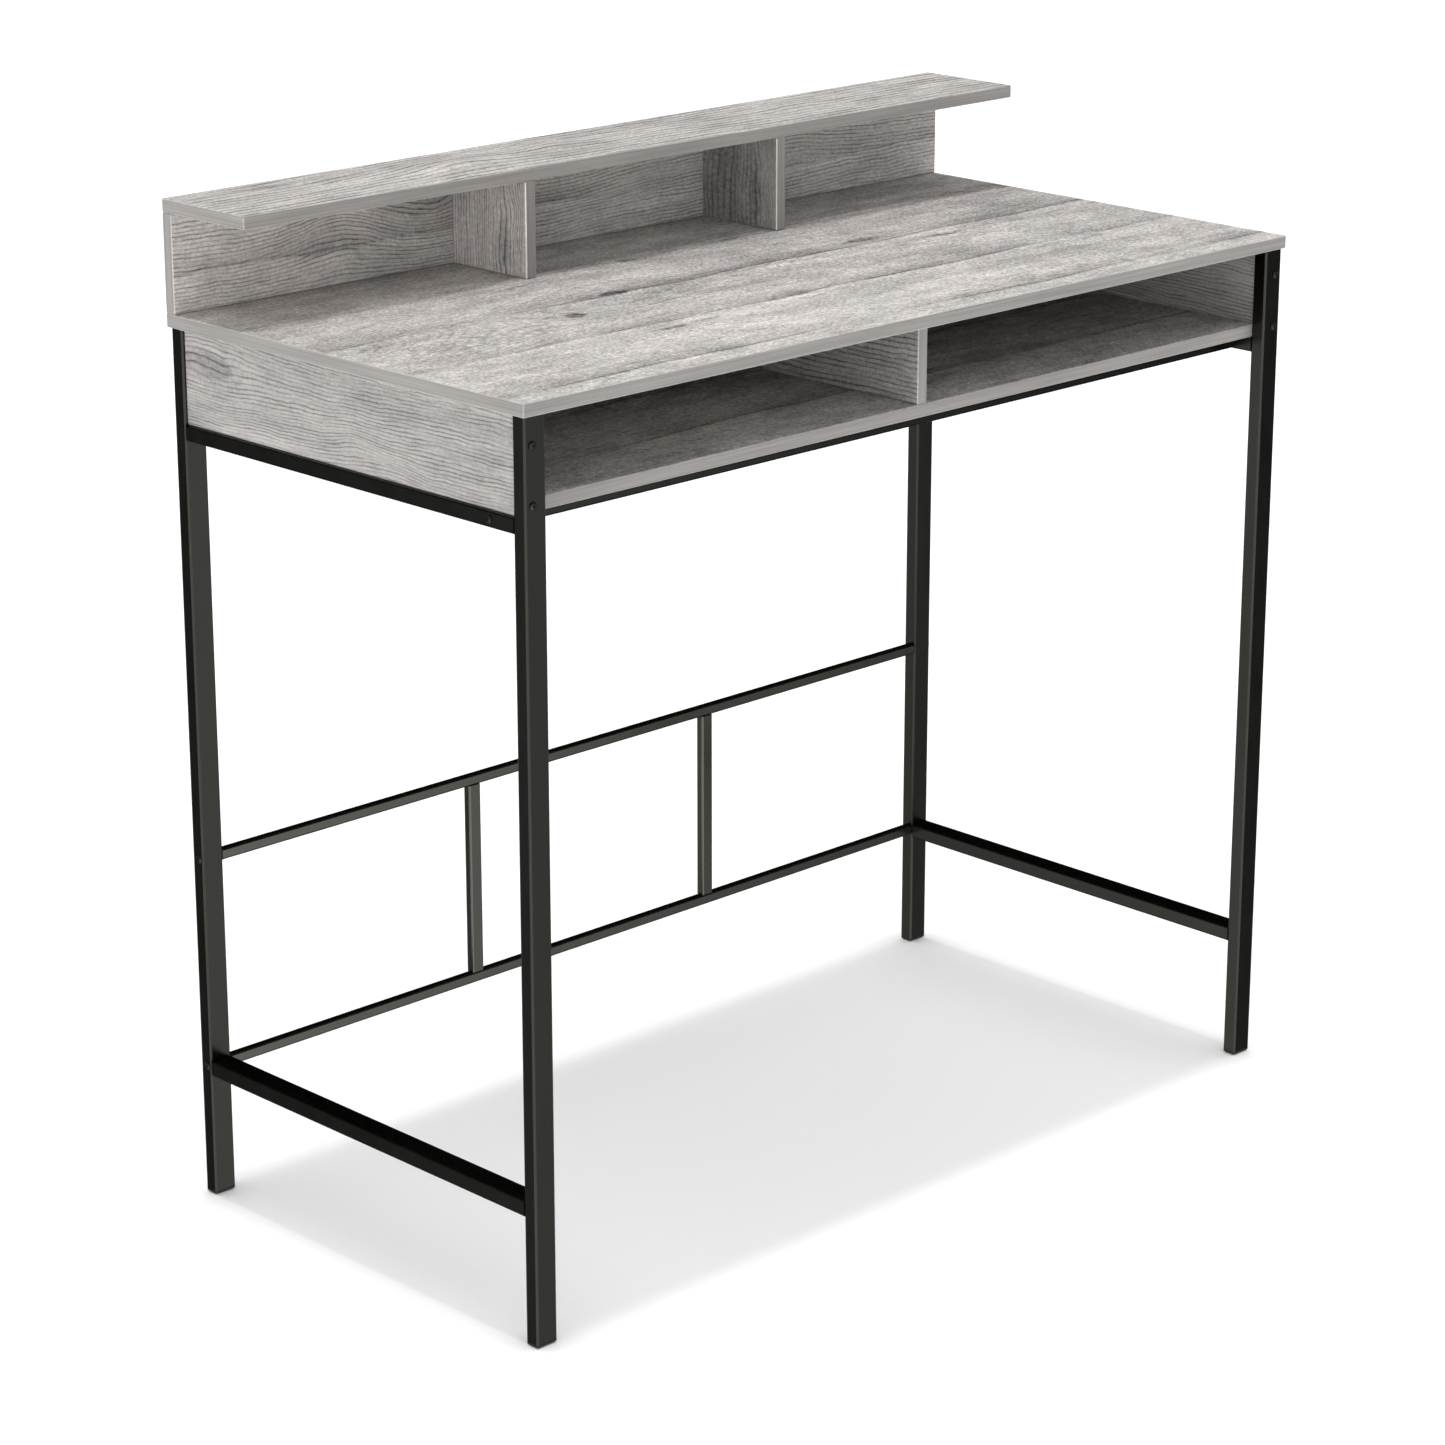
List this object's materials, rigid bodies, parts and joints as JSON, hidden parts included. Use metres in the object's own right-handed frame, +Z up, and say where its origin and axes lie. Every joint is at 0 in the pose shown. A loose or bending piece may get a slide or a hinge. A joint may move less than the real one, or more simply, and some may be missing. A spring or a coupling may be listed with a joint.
{
  "type": "standing desk with hutch",
  "caption": "Standing-height desk on a bolted black steel tube frame, with open cubbies under the desktop and a low open hutch along its back edge.",
  "frame": {"origin": "on the floor, at the middle of the desk's length and depth", "axes": "+X along the desk's length to the user's right, +Y from the user to the hutch, +Z up"},
  "size_m": [1.2, 0.578, 1.157],
  "materials": {
    "desktop_board": "matte grey oak laminate",
    "hutch_shelf_board": "matte grey oak laminate",
    "lower_shelf_board": "matte grey oak laminate",
    "back_board": "matte grey oak laminate",
    "side_board": "matte grey oak laminate",
    "hutch_divider_board": "matte grey oak laminate",
    "centre_divider_board": "matte grey oak laminate",
    "black_frame": "satin powder coat",
    "black_screw": "black oxide",
    "zinc_screw": "zinc plated",
    "foot_plastic": "matte",
    "beech_dowel": "raw beech"
  },
  "bodies": {
    "root": {"back_bar_left": "black_frame", "back_bar_right": "black_frame", "back_panel": "back_board", "back_rail_lower": "black_frame", "back_rail_screw_left_lower": "black_screw", "back_rail_screw_left_upper": "black_screw", "back_rail_screw_right_lower": "black_screw", "back_rail_screw_right_upper": "black_screw", "back_rail_upper": "black_frame", "centre_divider": "centre_divider_board", "cross_rail": "black_frame", "cross_rail_screw_left": "black_screw", "cross_rail_screw_right": "black_screw", "desktop": "desktop_board", "desktop_dowel_front_left": "beech_dowel", "desktop_dowel_front_right": "beech_dowel", "desktop_dowel_rear_left": "beech_dowel", "desktop_dowel_rear_right": "beech_dowel", "foot_front_left": "foot_plastic", "foot_front_right": "foot_plastic", "foot_rear_left": "foot_plastic", "foot_rear_right": "foot_plastic", "hutch_back_panel": "back_board", "hutch_divider_left": "hutch_divider_board", "hutch_divider_right": "hutch_divider_board", "hutch_dowel_front_left": "beech_dowel", "hutch_dowel_front_right": "beech_dowel", "hutch_dowel_rear_left": "beech_dowel", "hutch_dowel_rear_right": "beech_dowel", "hutch_screw_back_left": "zinc_screw", "hutch_screw_back_middle": "zinc_screw", "hutch_screw_back_right": "zinc_screw", "hutch_screw_left": "zinc_screw", "hutch_screw_right": "zinc_screw", "hutch_top_shelf": "hutch_shelf_board", "leg_front_left": "black_frame", "leg_front_right": "black_frame", "leg_rear_left": "black_frame", "leg_rear_right": "black_frame", "lower_shelf": "lower_shelf_board", "panel_screw_front_left_lower": "black_screw", "panel_screw_front_left_upper": "black_screw", "panel_screw_front_right_lower": "black_screw", "panel_screw_front_right_upper": "black_screw", "panel_screw_rear_left_lower": "black_screw", "panel_screw_rear_left_upper": "black_screw", "panel_screw_rear_right_lower": "black_screw", "panel_screw_rear_right_upper": "black_screw", "side_panel_left": "side_board", "side_panel_right": "side_board", "side_rail_lower_left": "black_frame", "side_rail_lower_right": "black_frame", "side_rail_upper_left": "black_frame", "side_rail_upper_right": "black_frame"}
  },
  "joints": []
}
